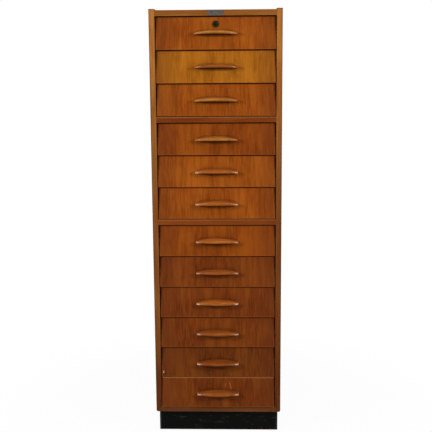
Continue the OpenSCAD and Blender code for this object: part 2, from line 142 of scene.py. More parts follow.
def makeWood(name, wood, tones, grain, shift=(0, 0, 0), extra=None, shine=None):
    # tones are the dark, middle and light colour; extra changes the colour and shine gives the sheen
    material, tree, coords = startMaterial(name)
    dark, middle, light = tones
    colour = toLinear(middle)
    noises = {}
    for kind, tone in (("cloud", light), ("figure", dark), ("streak", light), ("pore", dark)):
        noise = noiseAlong(tree, coords, grain, *wood[kind + "Mm"], shift, *wood[kind + "Noise"])
        colour = stain(tree, colour, tone, wood[kind + "Depth"], noise, *wood[kind + "Band"])
        noises[kind] = noise
    if extra:
        colour = extra(tree, coords, colour)
    roughnesses = [wood["roughness"] + change for change in wood["glossSpread"]]
    gloss = addNode(tree, "MapRange", smooth, [noises["streak"], *wood["glossBand"], *roughnesses])
    relief = addNode(tree, "Math", "SUBTRACT", [noises["streak"], noises["pore"]])
    bump = addNode(tree, "Bump", links={
        "Strength": wood["bumpStrength"], "Distance": wood["bumpMm"] * mm, "Height": relief})
    finishMaterial(tree, {
        "Base Color": colour, "Roughness": gloss, "IOR": 1.5,
        "Specular IOR Level": shine(tree, coords) if shine else wood["sheen"],
        "Specular Tint": toLinear(wood["sheenTone"]), "Normal": bump})
    return material


# Edges of sawn and turned pieces, eased with paper or a file
easing = {
    "weldWithin": 0.00001,
    "segments": 2,
    "overDegrees": 40,
}


def softenEdges(name, width):
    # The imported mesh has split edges: weld them, round them and let the flats shade flat
    piece = nodes[name]
    piece.modifiers.new("weld", "WELD").merge_threshold = easing["weldWithin"]
    bevel = piece.modifiers.new("eased edges", "BEVEL")
    bevel.width = width
    bevel.segments = easing["segments"]
    bevel.limit_method = "ANGLE"
    bevel.angle_limit = math.radians(easing["overDegrees"])
    piece.modifiers.new("shading", "WEIGHTED_NORMAL").keep_sharp = True


def dress(name, material, easedEdge=0.0):
    piece = nodes[name]
    piece.data.materials.clear()
    piece.data.materials.append(material)
    if easedEdge:
        softenEdges(name, easedEdge)


# Handles: solid teak, shaped on a spindle and rounded by hand, with a hollow for the fingers underneath
handle = {
    "halfLength": 0.076,
    "reach": 0.038,            # middle of the front edge before the drawer's foot
    "endReach": 0.013,
    "under": 0.050,            # lower edge at the tips, above the drawer's foot
    "underRise": 0.002,
    "middleHeight": 0.0145,
    "tipHeight": 0.004,
    "topRise": 0.010,
    "cornerRadius": 0.014,     # the upper edge runs down to the tips by rounds of this radius
    "cornerInset": 0.0115,
    "endRound": 0.004,
    "noseHeight": 0.0060,      # the upper face bends down to a nose this high above the lower edge
    "noseShare": 0.45,         # but no more than this share of the handle's height there
    "noseRound": 0.0055,
    "roundShare": 0.6,
    "fullness": 2.2,           # 2 makes the upper face a quarter of an ellipse, more makes it squarer
    "tipFullness": 3.8,
    "coveRadius": 0.011,
    "coveDepth": 0.005,
    "coveSetback": 0.016,
    "coveHalfLength": 0.055,
    "coveRunOut": 0.010,
    "steps": {"under": 18, "nose": 5, "crown": 16, "half": 26, "end": 5},    # round a section, and along
    "lean": 9 / 111.5,         # how far a front's face goes back for each unit of height
    "tones": {
        "pale": ("#88491A", "#B26C2C", "#C8843A"),
        "orange": ("#823C12", "#AC5C22", "#C4722E"),
        "brown": ("#723410", "#944C1A", "#AA6028"),
        "red": ("#6A2A0C", "#8C4418", "#A05822"),
    },
    "drawersByTone": {"pale": (1, 3, 4), "orange": (5, 6, 7, 9), "brown": (2, 8, 10, 12), "red": (11,)},
    "undersideShadeDepth": 0.75,        # painted shade: how far the underside goes towards black
    "undersideShadeFacing": (-0.25, -0.75),    # how far up a face looks where that starts, and where it is full
    "handleShadeTone": "#3E1A08",   # painted shade where the upper face meets the drawer, also used on the belly
    "cornerShadeDepth": 0.45,
    "cornerShadeReach": 0.019,
    "bellyShadeDepth": 0.35,        # painted shade: the forward-facing edge is darker than the upper face
    "bellyShadeFacing": (0.55, 0.0),
    "sheen": 0.12,
    "tipSheen": {"pale": 0.50, "brown": 0.85, "orange": 1.0, "red": 1.0},    # rubbed ends shine more
    "sheenReach": (0.050, 0.068),
    "tipHighlightTone": "#FFD2B4",      # painted highlight: the ends of the lower handles are painted pale where they catch the side lamps
    "tipHighlightDepth": {5: 0.4, 6: 0.35, 7: 0.28, 8: 0.3, 9: 0.58, 10: 0.42, 11: 0.6, 12: 0.5},
    "tipHighlightReach": (0.060, 0.069),
    "tipHighlightFacing": (0.90, 0.50),
}


# Painted shade: a near-black tone that stands for the shadow in the narrow gaps round the drawers, also used
# on the handles' undersides
paintedShade = {
    "tone": "#2E0C02",
    "depth": 0.93,
    "reach": 0.035,
    "fade": 0.015,
    "edge": 0.0004,
}


# Drawer fronts: teak veneer with upright grain, and 3 mm solid lippings round it that have stayed paler
fronts = {
    "lippingMm": 3.0,
    "lippingBlurMm": 0.3,
    "lippingTone": "#96522A",
    "lippingDepth": 0.26,
    "edgeTone": "#5E2C14",     # the veneer is darker and redder towards its sides
    "edgeDepth": 0.45,
    "edgeFrom": 0.105,         # distance from the middle where that starts
    "sideShadeFootMm": 0.8,        # painted shade at the front's sides, wider towards the top, for the shadow that the case sides cast on the leaning front
    "sideShadeTopMm": 4.2,
    "sideShadeBand": (1.0, 0.3),     # shares of that width where it starts, and where it is full
    "seamShadeMm": (3.2, 1.28),      # the same painted shade below the top edge, for the shadow under the drawer above
    # painted shadow under the handle; its tone also darkens the thin line above the handle
    "handleShadowAndRimTone": "#3A1A0A",
    "shadowUnderHandleDepth": 0.45,
    "shadowUnderHandleSize": (0.082, 0.014),    # half length and height of the painted shadow on the front under the handle
    "shadowUnderHandleRise": 0.003,
    "shadowUnderHandlePowers": (3.0, 2.0),      # 2 and 2 would make it an ellipse
    "shadowUnderHandleBand": (1.0, 0.05),
    "rimDepth": 0.32,                # a thin dark line on the front just above the handle
    "rimHeight": (0.006, 0.001),
    "rimPower": 3.3,                 # how long it stays level before it falls to the tips
    "rimEnds": (1.6, 1.2),
    "rimFoot": 0.004,
    "litTopEdge": (12,),              # this drawer stands out a little, and its top edge gets a pale painted highlight instead of the painted seam shade
    "topEdgeHighlightTone": "#9A6234",
    "marks": {                       # across, height above the foot, slope, half length, half width, tone
        11: (
            (-0.2005, 0.018, 0.0, 0.0048, 0.0030, "#C39468"),
            (-0.1955, 0.014, -0.6, 0.0075, 0.0014, "#32150A"),
        ),
        12: (
            (0.0285, 0.085, 0.40, 0.0070, 0.0008, "#A06436"),
            (0.0455, 0.079, -0.30, 0.0150, 0.0009, "#B07848"),
        ),
    },
    "markBand": (1.0, 0.7),
    "easedEdge": 0.0008,
    # the deep and dark tones of the lower drawers are partly painted shade, for the light that falls off
    # towards the floor
    "tones": {
        "warm": ("#6A2E0A", "#88400D", "#A25616"),
        "golden": ("#7C440A", "#975610", "#B06C1C"),
        "russet": ("#5D2708", "#7A370C", "#934A11"),
        "deep": ("#50200A", "#682E0D", "#814113"),
        "dark": ("#461E0A", "#5F2B0D", "#763D11"),
    },
    "drawersByTone": {
        "warm": (1, 3, 5, 6),
        "golden": (2,),
        "russet": (4, 7),
        "deep": (8, 9, 10, 12),
        "dark": (11,),
    },
}


def paintFrontEdges(tree, parts, colour, low, high, highlighted):
    # Redder sides, the solid strips all round, and painted shade for the shadows that come in from the sides
    # and down from the top of the leaning front
    halfWidth, halfHeight = (high.x - low.x) / 2, (high.z - low.z) / 2
    offCentre = distanceFrom(tree, parts[0], (low.x + high.x) / 2)
    offMiddle = distanceFrom(tree, parts[2], (low.z + high.z) / 2)
    sides = (fronts["edgeFrom"], halfWidth)
    colour = stain(tree, colour, fronts["edgeTone"], fronts["edgeDepth"], offCentre, *sides)
    fromSide = addNode(tree, "Math", "SUBTRACT", [halfWidth, offCentre])
    fromEnd = addNode(tree, "Math", "SUBTRACT", [halfHeight, offMiddle])
    fromEdge = addNode(tree, "Math", "MINIMUM", [fromSide, fromEnd])
    strip = [(fronts["lippingMm"] + side * fronts["lippingBlurMm"]) * mm for side in (1, -1)]
    colour = stain(tree, colour, fronts["lippingTone"], fronts["lippingDepth"], fromEdge, *strip)
    width = addNode(tree, "MapRange", smooth, [
        parts[2], low.z, high.z, fronts["sideShadeFootMm"] * mm, fronts["sideShadeTopMm"] * mm])
    share = addNode(tree, "Math", "DIVIDE", [fromSide, width])
    shadeMask = addNode(tree, "MapRange", smooth, [share, *fronts["sideShadeBand"], 0.0, paintedShade["depth"]])
    fromTop = addNode(tree, "Math", "SUBTRACT", [high.z, parts[2]])
    seam = [size * mm for size in fronts["seamShadeMm"]]
    topMask = addNode(tree, "MapRange", smooth, [fromTop, *seam, 0.0, paintedShade["depth"]])
    if highlighted:
        colour = addNode(tree, "Mix", colours, [topMask, colour, toLinear(fronts["topEdgeHighlightTone"])])
    else:
        shadeMask = addNode(tree, "Math", "MAXIMUM", [shadeMask, topMask])
    return addNode(tree, "Mix", colours, [shadeMask, colour, toLinear(paintedShade["tone"])])


def paintHandleShadowAndRim(tree, parts, colour, low, centre):
    # Painted shadow: a dark patch on the front under the handle; and a thin dark line along the handle's
    # upper edge
    tips = low.z + handle["under"]
    offCentre = distanceFrom(tree, parts[0], centre)
    offPatch = distanceFrom(tree, parts[2], tips + fronts["shadowUnderHandleRise"])
    terms = []
    for value, size, power in zip((offCentre, offPatch), fronts["shadowUnderHandleSize"], fronts["shadowUnderHandlePowers"]):
        share = addNode(tree, "Math", "DIVIDE", [value, size])
        terms.append(addNode(tree, "Math", "POWER", [share, power]))
    patch = addNode(tree, "Math", "ADD", terms)
    colour = stain(tree, colour, fronts["handleShadowAndRimTone"], fronts["shadowUnderHandleDepth"], patch, *fronts["shadowUnderHandleBand"])
    rise = handle["underRise"] + handle["middleHeight"]
    across = addNode(tree, "Math", "DIVIDE", [offCentre, handle["halfLength"]])
    across = addNode(tree, "Math", "POWER", [across, fronts["rimPower"]])
    # the rim's height falls off from the middle, and reaches that of the tips where the handle ends
    outline = addNode(tree, "MapRange", smooth, [across, 0.0, 2.0, tips + rise, tips - rise])
    above = addNode(tree, "Math", "SUBTRACT", [parts[2], outline])
    mask = addNode(tree, "MapRange", smooth, [above, *fronts["rimHeight"], 0.0, fronts["rimDepth"]])
    for fade in ([across, *fronts["rimEnds"]], [parts[2], tips - fronts["rimFoot"], tips]):
        mask = addNode(tree, "Math", "MULTIPLY", [mask, addNode(tree, "MapRange", smooth, fade)])
    return addNode(tree, "Mix", colours, [mask, colour, toLinear(fronts["handleShadowAndRimTone"])])


def paintMark(tree, parts, colour, foot, across, up, slope, halfLong, halfWide, tone):
    # One chip or scratch, a slanting bar
    along = addNode(tree, "Math", "SUBTRACT", [parts[2], foot + up])
    slant = addNode(tree, "Math", "MULTIPLY", [along, slope])
    aside = addNode(tree, "Math", "SUBTRACT", [parts[0], across])
    shares = [
        addNode(tree, "Math", "DIVIDE", [distanceFrom(tree, parts[2], foot + up), halfLong]),
        addNode(tree, "Math", "DIVIDE", [distanceFrom(tree, aside, slant), halfWide]),
    ]
    share = addNode(tree, "Math", "MAXIMUM", shares)
    return stain(tree, colour, tone, 1.0, share, *fronts["markBand"])


def frontPaint(number, low, high):
    # low and high are the corners of the front's own box
    def paint(tree, coords, colour):
        parts = addNode(tree, "SeparateXYZ", links=[coords]).outputs
        colour = paintFrontEdges(tree, parts, colour, low, high, number in fronts["litTopEdge"])
        colour = paintHandleShadowAndRim(tree, parts, colour, low, (low.x + high.x) / 2)
        for mark in fronts["marks"].get(number, ()):
            colour = paintMark(tree, parts, colour, low.z, *mark)
        return colour

    return paint


for toneName, members in fronts["drawersByTone"].items():
    for number in members:
        frontName = f"drawer_{number:02d}_front"
        low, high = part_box(frontName)
        shift = (number * 3.7, number * 1.3, number * 5.1)    # no two fronts show the same piece of veneer
        veneer = makeWood(f"teakVeneerOiled{number:02d}", teak, fronts["tones"][toneName], "Z", shift,
                          frontPaint(number, low, high))
        dress(frontName, veneer, fronts["easedEdge"])
print("drawer fronts dressed")


# Case: solid and veneered teak boards, oiled, a little paler than the fronts, with painted shade that darkens
# them towards the floor
case = {
    "tones": ("#7C441A", "#9A5C26", "#B17635"),
    "railTones": ("#643310", "#7E4819", "#935B25"),
    "dividerTones": ("#562209", "#6E320F", "#824016"),
    "footTones": ("#44220F", "#5E341A", "#724324"),
    "backTones": ("#5E3515", "#7E4E26", "#946236"),
    "heightShadeTone": "#4E200D",
    "arrisTone": "#3E1F0D",           # painted shade on the outer arrises, which turn away from the light; the top few millimetres are darker too
    "arrisReach": (0.0036, 0.0008),   # distances from the edge where that starts, and where it is full
    "arrisDepth": 0.75,
    "arrisBack": 0.004,
    "endReach": (0.004, 0.0015),
    "endDepth": 0.6,
    "paleArrisTone": "#B07A4C",            # upper edges of the boards, paler: partly wear, partly a painted highlight where the eased edge catches the light
    "paleArrisDrop": 0.0015,
    "paleArrisReach": (0.0022, 0.0006),
    "paleArrisDepth": {"top_panel": 0.15, "dividers": 0.40, "bottom_panel": 0.35},
    "dustFacing": (0.2, 0.7),         # how far up a face looks where dust starts to lie, and where it is full
    "easedEdge": 0.0012,
    "railEasedEdge": 0.0006,
    "shadeByHeight": {                 # share of the painted shade tone at heights above the floor, for light that falls off downwards
        "left": {0.0: 0.88, 0.20: 0.88, 0.45: 0.58, 0.70: 0.44, 0.95: 0.49, 1.20: 0.34, 1.40: 0.04},
        "right": {0.0: 0.88, 0.20: 0.88, 0.45: 0.74, 0.70: 0.76, 0.95: 0.70, 1.20: 0.22, 1.40: 0.06},
    },
}
sideLow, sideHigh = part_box("side_left")
floorLow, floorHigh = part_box("bottom_panel")
insideLow = Vector((sideHigh.x, sideLow.y, floorHigh.z))
insideHigh = Vector((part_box("side_right")[0].x, insideLow.y + paintedShade["reach"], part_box("top_panel")[0].z))
caseTop = sideHigh.z
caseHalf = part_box("side_right")[1].x


def paintGapShade(tree, parts, colour):
    # Painted shade on the faces that look into the gaps round the drawers
    edge = paintedShade["edge"]
    mask = addNode(tree, "MapRange", smooth, [
        parts[1], insideLow.y + edge, insideLow.y + 2 * edge, 0.0, paintedShade["depth"]])
    fades = [[parts[1], insideHigh.y, insideHigh.y - paintedShade["fade"]]]
    for axis in (0, 2):
        half = (insideHigh[axis] - insideLow[axis]) / 2
        offset = distanceFrom(tree, parts[axis], (insideLow[axis] + insideHigh[axis]) / 2)
        fades.append([offset, half + 2 * edge, half + edge])
    for fade in fades:
        mask = addNode(tree, "Math", "MULTIPLY", [mask, addNode(tree, "MapRange", smooth, fade)])
    return addNode(tree, "Mix", colours, [mask, colour, toLinear(paintedShade["tone"])])


def sidePaint(side):
    # Painted shade: darker towards the floor by height, and on the outer arrises; the top few millimetres are
    # darker too
    def paint(tree, coords, colour):
        parts = addNode(tree, "SeparateXYZ", links=[coords]).outputs
        shadeMask = addNode(tree, "ValToRGB", links=[addNode(tree, "Math", "DIVIDE", [parts[2], caseTop])])
        stops = shadeMask.color_ramp.elements
        while len(stops) < len(case["shadeByHeight"][side]):
            stops.new(0.5)
        for stop, (height, share) in zip(stops, case["shadeByHeight"][side].items()):
            stop.position = height / caseTop
            stop.color = (share, share, share, 1)
        colour = addNode(tree, "Mix", colours, [shadeMask, colour, toLinear(case["heightShadeTone"])])
        limits = [caseHalf - reach for reach in case["arrisReach"]]
        offCentre = addNode(tree, "Math", "ABSOLUTE", [parts[0]])
        outer = addNode(tree, "MapRange", smooth, [offCentre, *limits, 0.0, case["arrisDepth"]])
        front = addNode(tree, "MapRange", smooth, [parts[1], insideLow.y + case["arrisBack"], insideLow.y])
        outer = addNode(tree, "Math", "MULTIPLY", [outer, front])
        limits = [caseTop - reach for reach in case["endReach"]]
        ends = addNode(tree, "MapRange", smooth, [parts[2], *limits, 0.0, case["endDepth"]])
        dark = addNode(tree, "Math", "MAXIMUM", [outer, ends])
        colour = addNode(tree, "Mix", colours, [dark, colour, toLinear(case["arrisTone"])])
        return paintGapShade(tree, parts, colour)

    return paint


def railPaint(tops, depth):
    # The upper arris of each board is paler, partly wear and partly a painted highlight, and what looks into
    # the gaps gets painted shade
    def paint(tree, coords, colour):
        parts = addNode(tree, "SeparateXYZ", links=[coords]).outputs
        for top in tops:
            fromArris = distanceFrom(tree, parts[2], top - case["paleArrisDrop"])
            colour = stain(tree, colour, case["paleArrisTone"], depth, fromArris, *case["paleArrisReach"])
        return paintGapShade(tree, parts, colour)

    return paint


def dustyShine(tree, coords):
    # Dust lies on the upper faces of the boards between the drawers and keeps them from shining
    normal = addNode(tree, "NewGeometry").outputs["Normal"]
    up = addNode(tree, "SeparateXYZ", links=[normal]).outputs[2]
    return addNode(tree, "MapRange", smooth, [up, *case["dustFacing"], teak["sheen"], 0.0])


for side, shift in (("left", (2, 5, 1)), ("right", (7, 3, 6))):
    board = makeWood(f"teakBoardOiled{side.capitalize()}", teak, case["tones"], "Z", shift, sidePaint(side))
    dress(f"side_{side}", board, case["easedEdge"])
lowDivider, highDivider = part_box("dividers")
boardThickness = floorHigh.z - floorLow.z
rails = {
    "top_panel": ("railTones", (4, 1, 7), [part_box("top_panel")[1].z], None),
    "dividers": ("dividerTones", (5, 2, 3), [lowDivider.z + boardThickness, highDivider.z], dustyShine),
    "bottom_panel": ("footTones", (8, 6, 2), [floorHigh.z], dustyShine),
}
for name, (toneName, shift, tops, shine) in rails.items():
    rail = makeWood(f"teakRailOiled_{name}", teak, case[toneName], "X", shift,
                    railPaint(tops, case["paleArrisDepth"][name]), shine)
    dress(name, rail, case["railEasedEdge"])
dress("back_panel", makeWood("teakPlywoodSanded", teak, case["backTones"], "Z", shift=(9, 3, 2)))
print("case dressed")


# Drawer boxes, bottoms and runners: beech and birch, sanded and left pale
beech = dict(teak, figureMm=(30, 400), streakMm=(4, 120), poreMm=(1.2, 5), figureDepth=0.30,
             streakDepth=0.35, poreDepth=0.45, roughness=0.55)
beechWaxed = dict(beech, roughness=0.4)
boxes = {
    "beechTones": ("#A87C4E", "#C79D6C", "#D8B184"),
    "birchTones": ("#B58B56", "#CFA772", "#DDBB88"),
    "easedEdge": 0.001,
    "runnerEasedEdge": 0.0006,
}
boxWood = makeWood("beechSandedLengthwise", beech, boxes["beechTones"], "Y", shift=(1, 2, 3))
plyWood = makeWood("birchPlywoodSanded", beech, boxes["birchTones"], "X", shift=(6, 2, 8))
runnerWood = makeWood("beechStripWaxed", beechWaxed, boxes["beechTones"], "Y", shift=(3, 9, 4))
for number in range(1, drawerCount + 1):
    dress(f"drawer_{number:02d}_box", boxWood, boxes["easedEdge"])
    dress(f"drawer_{number:02d}_bottom", plyWood)
dress("drawer_runners", runnerWood, boxes["runnerEasedEdge"])
print("drawer boxes dressed")


# Plinth: black satin lacquer brushed on wood, with pale scuffs from shoes and brooms
plinth = {
    "black": "#060605",
    "scuffAndHighlight": "#403F3B",
    "scuffMm": (5, 24),
    "scuffBand": (0.60, 0.72),        # values of the noise between which the scuffs come in
    "hazeMm": (40, 120),
    "hazeBand": (0.42, 0.60),
    "roughness": 0.45,
    "glossBand": (0.35, 0.65),
    "glossSpread": (-0.07, 0.12),
    "sheen": 0.05,
    "bumpMm": 0.2,
    "bumpStrength": 0.2,
    "easedEdge": 0.0015,
    "lineX": 0.216,                   # a pale line painted at each front corner, a painted highlight along the mitre
    "lineReach": (0.0012, 0.0003),
    "lineDepth": 0.75,
}


def makeLacquer():
    material, tree, coords = startMaterial("blackLacquerBrushed")
    scuffs = noiseAlong(tree, coords, "X", *plinth["scuffMm"], shift=(3, 1, 2), detail=4.0, distortion=0.8)
    haze = noiseAlong(tree, coords, "X", *plinth["hazeMm"], shift=(8, 4, 6))
    across = addNode(tree, "SeparateXYZ", links=[coords]).outputs[0]
    fromLine = distanceFrom(tree, addNode(tree, "Math", "ABSOLUTE", [across]), plinth["lineX"])
    line = addNode(tree, "MapRange", smooth, [fromLine, *plinth["lineReach"], 0.0, plinth["lineDepth"]])
    scuffed = addNode(tree, "Math", "MULTIPLY", [
        addNode(tree, "MapRange", smooth, [scuffs, *plinth["scuffBand"]]),
        addNode(tree, "MapRange", smooth, [haze, *plinth["hazeBand"]])])
    mask = addNode(tree, "Math", "MAXIMUM", [scuffed, line])
    colour = addNode(tree, "Mix", colours, [mask, toLinear(plinth["black"]), toLinear(plinth["scuffAndHighlight"])])
    roughnesses = [plinth["roughness"] + change for change in plinth["glossSpread"]]
    gloss = addNode(tree, "MapRange", smooth, [haze, *plinth["glossBand"], *roughnesses])
    bump = addNode(tree, "Bump", links={
        "Strength": plinth["bumpStrength"], "Distance": plinth["bumpMm"] * mm, "Height": haze})
    finishMaterial(tree, {
        "Base Color": colour, "Roughness": gloss, "IOR": 1.5, "Specular IOR Level": plinth["sheen"],
        "Normal": bump})
    return material


dress("plinth", makeLacquer(), plinth["easedEdge"])
print("plinth dressed")


# Plate: rolled aluminium gone dull and grey, left bare. Lock: cast and turned brass gone nearly black.
# Screws: turned steel, bright and plain
metals = {
    "aluminiumRolledDull": {
        "tones": ("#48423E", "#5E5751"), "roughness": 0.5, "markMm": 0.8, "easedEdge": 0.0002},
    "brassCastAged": {
        "tones": ("#1E180F", "#3A2F1D"), "roughness": 0.4, "markMm": 0.9, "easedEdge": 0.0004},
    "brassTurnedAged": {
        "tones": ("#14110C", "#2A2318"), "roughness": 0.42, "markMm": 0.7, "easedEdge": 0.0002},
    "steelTurnedPlain": {
        "tones": ("#9C9A95", "#C2C0BA"), "roughness": 0.35, "markMm": 0.5, "easedEdge": 0.0},
}
metalMarks = {
    "patchTimes": (4, 6),      # width and length of the dulled patches, in widths of a mark
    "markTimes": (1, 12),
    "bumpMm": 0.03,
    "bumpStrength": 0.3,
    "patchBand": (0.35, 0.65),
    "glossBand": (0.3, 0.7),
    "glossSpread": (-0.08, 0.10),
}


def makeMetal(name):
    # A metal's own colour with its dulled patches, and fine marks along one axis
    metal = metals[name]
    material, tree, coords = startMaterial(name)
    patchMm = [metal["markMm"] * times for times in metalMarks["patchTimes"]]
    markMm = [metal["markMm"] * times for times in metalMarks["markTimes"]]
    patches = noiseAlong(tree, coords, "X", *patchMm, shift=(1, 1, 1), detail=3.0)
    marks = noiseAlong(tree, coords, "X", *markMm, shift=(2, 2, 2))
    dull, bright = metal["tones"]
    colour = stain(tree, toLinear(dull), bright, 1.0, patches, *metalMarks["patchBand"])
    roughnesses = [metal["roughness"] + change for change in metalMarks["glossSpread"]]
    gloss = addNode(tree, "MapRange", smooth, [marks, *metalMarks["glossBand"], *roughnesses])
    bump = addNode(tree, "Bump", links={
        "Strength": metalMarks["bumpStrength"], "Distance": metalMarks["bumpMm"] * mm, "Height": marks})
    finishMaterial(tree, {"Base Color": colour, "Metallic": 1.0, "Roughness": gloss, "Normal": bump})
    return material


metalPieces = {
    "label_plate": "aluminiumRolledDull",
    "lock_housing": "brassCastAged",
    "lock_plug": "brassTurnedAged",
    "wood_screws": "steelTurnedPlain",
}
for name, metalName in metalPieces.items():
    dress(name, makeMetal(metalName), metals[metalName]["easedEdge"])
steel = bpy.data.materials["steelTurnedPlain"]    # also for the handles' screws
print("metal parts dressed")


# Made pieces: points of one place become one, and a corner stays crisp where faces meet at a larger angle
madeMesh = {
    "weldWithin": 0.000001,
    "crispOverDegrees": 35,
}


def buildMesh(name, points, faces, material):
    mesh = bpy.data.meshes.new(name)
    mesh.from_pydata(points, [], faces)
    work = bmesh.new()
    work.from_mesh(mesh)
    bmesh.ops.remove_doubles(work, verts=work.verts, dist=madeMesh["weldWithin"])
    bmesh.ops.recalc_face_normals(work, faces=work.faces)
    for face in work.faces:
        face.smooth = True
    for edge in work.edges:
        edge.smooth = edge.calc_face_angle(0) < math.radians(madeMesh["crispOverDegrees"])
    work.to_mesh(mesh)
    work.free()
    mesh.materials.append(material)
    return addPiece(name, mesh)


def addPiece(name, data):
    piece = bpy.data.objects.new(name, data)
    bpy.context.scene.collection.objects.link(piece)
    return piece


def arcRadius(half, rise):
    return (half * half + rise * rise) / (2 * rise)


def quarterTurn(steps):
    return [math.pi / 2 * step / steps for step in range(1, steps + 1)]


planRadius = arcRadius(handle["halfLength"], handle["reach"] - handle["endReach"])
planCentre = planRadius - handle["reach"]


def handleEdges(side):
    # Heights of the lower and the upper edge and place of the front edge, at a distance from the middle
    topRadius = arcRadius(handle["halfLength"], handle["topRise"])
    underRadius = arcRadius(handle["halfLength"], handle["underRise"])
    cornerX = handle["halfLength"] - handle["cornerInset"]
    cornerZ = handle["tipHeight"] - math.sqrt(handle["cornerRadius"] ** 2 - handle["cornerInset"] ** 2)
    low = handle["underRise"] - underRadius + math.sqrt(underRadius ** 2 - side ** 2)
    top = handle["underRise"] + handle["middleHeight"] - topRadius + math.sqrt(topRadius ** 2 - side ** 2)
    if side > cornerX:
        top = min(top, cornerZ + math.sqrt(handle["cornerRadius"] ** 2 - (side - cornerX) ** 2))
    front = planCentre - math.sqrt(planRadius ** 2 - side ** 2)
    rounding = handle["endRound"]
    intoRound = min(max(0.0, side - handle["halfLength"] + rounding), rounding)
    front += rounding - math.sqrt(rounding ** 2 - intoRound ** 2)
    return handle["under"] + low, handle["under"] + top, front


def hollowHeight(side, y, low):
    # How far the finger hollow rises above the lower edge; it runs out before the ends
    fromPath = abs(math.hypot(side, y - planCentre) - planRadius + handle["coveSetback"])
    if fromPath >= handle["coveRadius"]:
        return 0.0
    centre = handle["under"] + handle["underRise"] + handle["coveDepth"] - handle["coveRadius"]
    hollow = max(0.0, centre + math.sqrt(handle["coveRadius"] ** 2 - fromPath ** 2) - low)
    ending = min(1.0, max(0.0, (handle["coveHalfLength"] - side) / handle["coveRunOut"]))
    return hollow * (ending * ending * (3 - 2 * ending))


def handleSection(x):
    # One closed section in y and z, at distance x from the middle, from the drawer's foot
    side = abs(x)
    steps = handle["steps"]
    low, top, front = handleEdges(side)
    nose = min(handle["noseHeight"], handle["noseShare"] * (top - low))
    noseRound = min(handle["noseRound"], handle["roundShare"] * nose)
    points = []
    for step in range(steps["under"]):
        start = handle["lean"] * low
        y = start + (front + noseRound - start) * step / (steps["under"] - 1)
        points.append((y, low + hollowHeight(side, y, low)))
    for angle in quarterTurn(steps["nose"]):
        points.append((front + noseRound * (1 - math.sin(angle)), low + nose * (1 - math.cos(angle))))
    towardsTip = (side / handle["halfLength"]) ** 2
    curve = 2 / (handle["fullness"] + (handle["tipFullness"] - handle["fullness"]) * towardsTip)
    back = handle["lean"] * top
    for angle in quarterTurn(steps["crown"]):
        y = back + (front - back) * math.cos(angle) ** curve
        z = low + nose + (top - low - nose) * math.sin(angle) ** curve
        points.append((y, z))
    return points


def handleStations():
    # Places along the handle, closer together towards its ends
    steps = handle["steps"]
    inner = handle["halfLength"] - handle["endRound"]
    half = steps["half"]
    stations = [inner * math.sin(math.pi / 2 * step / half) for step in range(-half, half + 1)]
    for angle in quarterTurn(steps["end"]):
        end = inner + handle["endRound"] * math.sin(angle)
        stations.append(end)
        stations.insert(0, -end)
    return stations


def joinRings(ringCount, count):
    # Faces between rings of count points each, with a closing face at either end
    faces = []
    for i in range(ringCount - 1):
        for j in range(count):
            nextJ = (j + 1) % count
            faces.append((i * count + j, i * count + nextJ, (i + 1) * count + nextJ, (i + 1) * count + j))
    faces.append(tuple(range(count)))
    faces.append(tuple(range((ringCount - 1) * count, ringCount * count)))
    return faces


def makeHandle(name, foot, frontY, material):
    stations = handleStations()
    sections = [handleSection(x) for x in stations]
    points = [(x, frontY + y, foot + z) for x, section in zip(stations, sections) for y, z in section]
    return buildMesh(name, points, joinRings(len(stations), len(sections[0])), material)


def handlePaint(frontY, foot, tipHighlightDepth):
    # Painted shade on the underside, on the forward-facing edge and where the upper face meets the drawer,
    # and a painted highlight on the ends
    def paint(tree, coords, colour):
        parts = addNode(tree, "SeparateXYZ", links=[coords]).outputs
        # the painted shade starts at the drawer's face near its foot, and leans back less than that face
        faceY = addNode(tree, "MapRange", smooth, [
            parts[2], foot, foot + 1.0, frontY, frontY + handle["lean"]])
        before = addNode(tree, "Math", "SUBTRACT", [faceY, parts[1]])
        corner = (before, handle["cornerShadeReach"], 0.0)
        colour = stain(tree, colour, handle["handleShadeTone"], handle["cornerShadeDepth"], *corner)
        normal = addNode(tree, "NewGeometry").outputs["Normal"]
        up = addNode(tree, "SeparateXYZ", links=[normal]).outputs[2]
        colour = stain(tree, colour, handle["handleShadeTone"], handle["bellyShadeDepth"], up, *handle["bellyShadeFacing"])
        across = addNode(tree, "Math", "ABSOLUTE", [parts[0]])
        highlighted = addNode(tree, "Math", "MULTIPLY", [
            addNode(tree, "MapRange", smooth, [across, *handle["tipHighlightReach"], 0.0, tipHighlightDepth]),
            addNode(tree, "MapRange", smooth, [up, *handle["tipHighlightFacing"]])])
        colour = addNode(tree, "Mix", colours, [highlighted, colour, toLinear(handle["tipHighlightTone"])])
        return stain(tree, colour, paintedShade["tone"], handle["undersideShadeDepth"], up, *handle["undersideShadeFacing"])

    return paint


def handleShine(tipSheen):
    def shine(tree, coords):
        across = addNode(tree, "SeparateXYZ", links=[coords]).outputs[0]
        across = addNode(tree, "Math", "ABSOLUTE", [across])
        return addNode(tree, "MapRange", smooth, [across, *handle["sheenReach"], handle["sheen"], tipSheen])

    return shine


# Handle screws: round heads with a turned slot, seen from behind when a drawer is open
handleScrew = {
    "spacing": 0.064,
    "drop": 0.001,             # below the middle of the handle's height
    "seat": 0.019,             # rear of the front board, behind its face
    "sink": 0.0006,            # how far the crown of the head lies below that
    "sides": 32,
    "headRadius": 0.004,
    "headHeight": 0.0026,
    "rimShare": 0.35,          # share of the head's height below its domed part
    "domeAngles": (0.0, 0.3, 0.6, 0.9, 1.2, 1.45),
    "shankRadius": 0.002,
    "shankLength": 0.030,
    "pointRadius": 0.0004,
    "pointLength": 0.003,
    "slotWidth": 0.0010,
    "slotDepth": 0.0012,
    "slotReach": 1.2,          # half length of the slot's cutter, in radii of the head
    "turnByDrawer": 0.4,       # radians by which the slots differ
    "turnBySide": 0.7,
}


